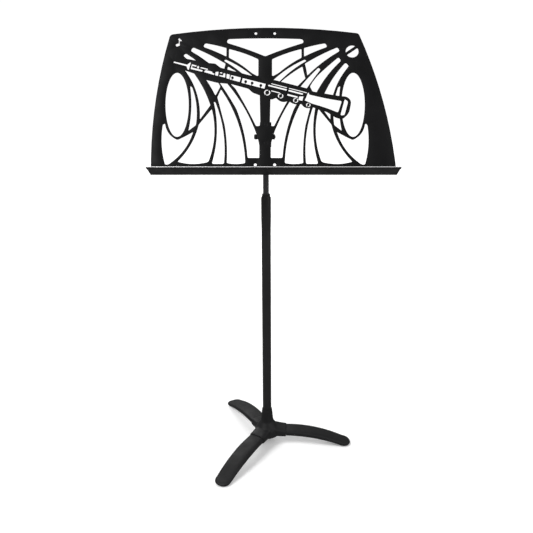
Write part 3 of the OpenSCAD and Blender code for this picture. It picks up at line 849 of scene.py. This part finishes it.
@dataclass
class Base:
    """The cast hub and its three legs on rubber pads."""

    bench: Bench
    legs: tuple[str, ...] = ("right", "front_left", "rear_left")
    voxel: float = 0.8 * MM
    fillet_passes: int = 14
    casting_smooth: float = math.radians(70)
    flat_angle: float = math.radians(25)
    square_angle: float = math.radians(60)
    crease_angle: float = math.radians(50)
    pad_grip: tuple[Point, ...] = (     # shares of the radius, and heights
        (0.45, 0.0), (0.5, 0.5 * MM), (0.62, 0.5 * MM), (0.67, 0.0))
    pad_rim: tuple[Point, ...] = (      # distances in from the side, and heights
        (1.4 * MM, 0.0), (0.7 * MM, 0.2 * MM), (0.3 * MM, 0.7 * MM))
    washer_edge: float = 0.2 * MM

    def hub(self) -> None:
        """The hub, with the soft fillets of a casting where its arms leave the body."""
        shape = remeshed(from_node("base_hub"), self.voxel)
        for _ in range(self.fillet_passes):
            bmesh.ops.smooth_vert(shape, verts=shape.verts, factor=0.5, use_axis_x=True,
                                  use_axis_y=True, use_axis_z=True)
        self.bench.place(shape, "base_hub_casting", "base", [BASE_COAT], ("base_hub",),
                         self.casting_smooth)

    def leg(self, side: str) -> None:
        """One leg, smooth along its length and crisp where it is machined.

        Args:
            side: which leg it is.
        """
        shape = from_node("leg_" + side)
        bmesh.ops.join_triangles(shape, faces=shape.faces, angle_face_threshold=self.flat_angle,
                                 angle_shape_threshold=self.square_angle)
        crease = shape.edges.layers.float.new("crease_edge")
        for edge in sharp_edges(shape, self.crease_angle):
            edge[crease] = 1.0
        piece = self.bench.place(shape, f"leg_{side}_casting", "base", [BASE_COAT],
                                 ("leg_" + side,))
        skin = piece.modifiers.new("skin", "SUBSURF")
        skin.levels = skin.render_levels = 1

    def pad(self, side: str) -> None:
        """One rubber pad, with a rounded rim and a grip ring moulded in its sole.

        Args:
            side: the leg that it is under.
        """
        low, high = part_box("foot_pad_" + side)
        centre, radius = (low + high) / 2, (high.x - low.x) / 2
        rings = [round_ring(share * radius, up) for share, up in self.pad_grip]
        rings += [round_ring(radius - inset, up) for inset, up in self.pad_rim]
        shape = stacked([*rings, round_ring(radius, high.z - low.z)], segments=48)
        bmesh.ops.translate(shape, verts=shape.verts, vec=(centre.x, centre.y, low.z))
        self.bench.place(shape, f"foot_pad_{side}_moulded", "base", [RUBBER],
                         ("foot_pad_" + side,))

    def build(self) -> None:
        """Makes the whole base."""
        self.hub()
        for side in self.legs:
            self.leg(side)
            self.pad(side)
        self.bench.ease("base_washer", "base_washer_eased", "base", OXIDE, self.washer_edge)
        for node in ("leg_screws", "base_bolt"):
            self.bench.keep(node, OXIDE)


# ---------------------------------------------------------------- stage

@dataclass(frozen=True)
class Lamp:
    """A square soft light: its place and its side in metres, and its power in watts."""

    name: str
    place: Triple
    size: float
    power: float


@dataclass
class Studio:
    """The pale floor, the soft light and the camera."""

    camera_place: Triple = (0.0217, -1.5418, 1.0916)
    camera_pitch: float = 68.0
    lens: float = 49.82
    shift: Point = (-0.0178, 0.0013)
    floor_half: float = 30.0
    floor_tone: float = 0.9
    floor_rough: float = 0.9
    clearing: float = 2.6
    glow_near: float = 0.22
    glow_far: float = 0.8
    surround: float = 0.25
    aim: Triple = (0.0, 0.0, 0.45)
    lamps: tuple[Lamp, ...] = (
        Lamp("key_light", (-1.6, -1.4, 2.6), 1.2, 75),
        Lamp("fill_light", (1.8, -1.0, 1.6), 1.2, 25),
        Lamp("back_light", (-0.9, 2.0, 1.9), 1.4, 30),
    )

    def camera(self) -> None:
        """The camera, where a person stands in front of the stand."""
        data = bpy.data.cameras.new("camera")
        data.lens = self.lens
        data.shift_x, data.shift_y = self.shift
        camera = bpy.data.objects.new("camera", data)
        camera.location = self.camera_place
        camera.rotation_euler = (math.radians(self.camera_pitch), 0, 0)
        bpy.context.scene.collection.objects.link(camera)
        bpy.context.scene.camera = camera

    def floor_paint(self) -> bpy.types.Material:
        """The floor's white, which glows less near the stand than far from it.

        Returns:
            The material.
        """
        graph = Graph("white_floor")
        inputs = graph.shader.inputs
        gradient = graph.add("TexGradient", gradient_type="SPHERICAL")
        graph.join(graph.place((1 / self.clearing,) * 3), gradient.inputs["Vector"])
        glow = graph.spread(gradient.outputs["Fac"], self.glow_far, self.glow_near, (0.0, 1.0))
        graph.join(glow, inputs["Emission Strength"])
        inputs["Base Color"].default_value = (*(self.floor_tone,) * 3, 1)
        inputs["Roughness"].default_value = self.floor_rough
        inputs["Specular IOR Level"].default_value = 0.0
        inputs["Emission Color"].default_value = (1, 1, 1, 1)
        return graph.material

    def floor(self) -> None:
        """A wide floor, which polished parts don't mirror."""
        shape = bmesh.new()
        bmesh.ops.create_grid(shape, x_segments=1, y_segments=1, size=self.floor_half)
        mesh = bpy.data.meshes.new("floor")
        shape.to_mesh(mesh)
        shape.free()
        mesh.materials.append(self.floor_paint())
        floor = bpy.data.objects.new("floor", mesh)
        bpy.context.scene.collection.objects.link(floor)
        floor.visible_glossy = False

    def light(self, lamp: Lamp) -> None:
        """Hangs a lamp and points it at the middle of the stand.

        Args:
            lamp: the lamp.
        """
        data = bpy.data.lights.new(lamp.name, "AREA")
        data.size, data.energy = lamp.size, lamp.power
        light = bpy.data.objects.new(lamp.name, data)
        light.location = lamp.place
        way = Vector(self.aim) - Vector(lamp.place)
        light.rotation_euler = way.to_track_quat("-Z", "Y").to_euler()
        bpy.context.scene.collection.objects.link(light)

    def sky(self) -> None:
        """A white surround, which lights the stand less than it shows."""
        world = bpy.data.worlds.new("surround")
        bpy.context.scene.world = world
        world.use_nodes = True
        tree = world.node_tree
        background = tree.nodes["Background"]
        background.inputs["Color"].default_value = (1, 1, 1, 1)
        seen = tree.nodes.new("ShaderNodeLightPath")
        level = tree.nodes.new("ShaderNodeMapRange")
        level.inputs["To Min"].default_value = self.surround
        level.inputs["To Max"].default_value = 1.0
        tree.links.new(seen.outputs["Is Camera Ray"], level.inputs["Value"])
        tree.links.new(level.outputs["Result"], background.inputs["Strength"])

    def build(self) -> None:
        """Sets the whole stage."""
        self.camera()
        self.floor()
        self.sky()
        for lamp in self.lamps:
            self.light(lamp)
        bpy.context.scene.view_settings.view_transform = "Standard"


def main() -> None:
    """Builds the stand and its stage, and reports each piece."""
    logging.basicConfig(level=logging.INFO, format="%(message)s")
    bench = Bench()
    for part in (Studio(), Desk(bench), TiltJoint(bench), Post(bench), Base(bench)):
        part.build()
    for piece in bench.pieces:
        log.info("%s: %d faces, in %s", piece.name, len(piece.data.polygons),
                 piece.material_slots[0].material.name)


if __name__ == "__main__":
    main()
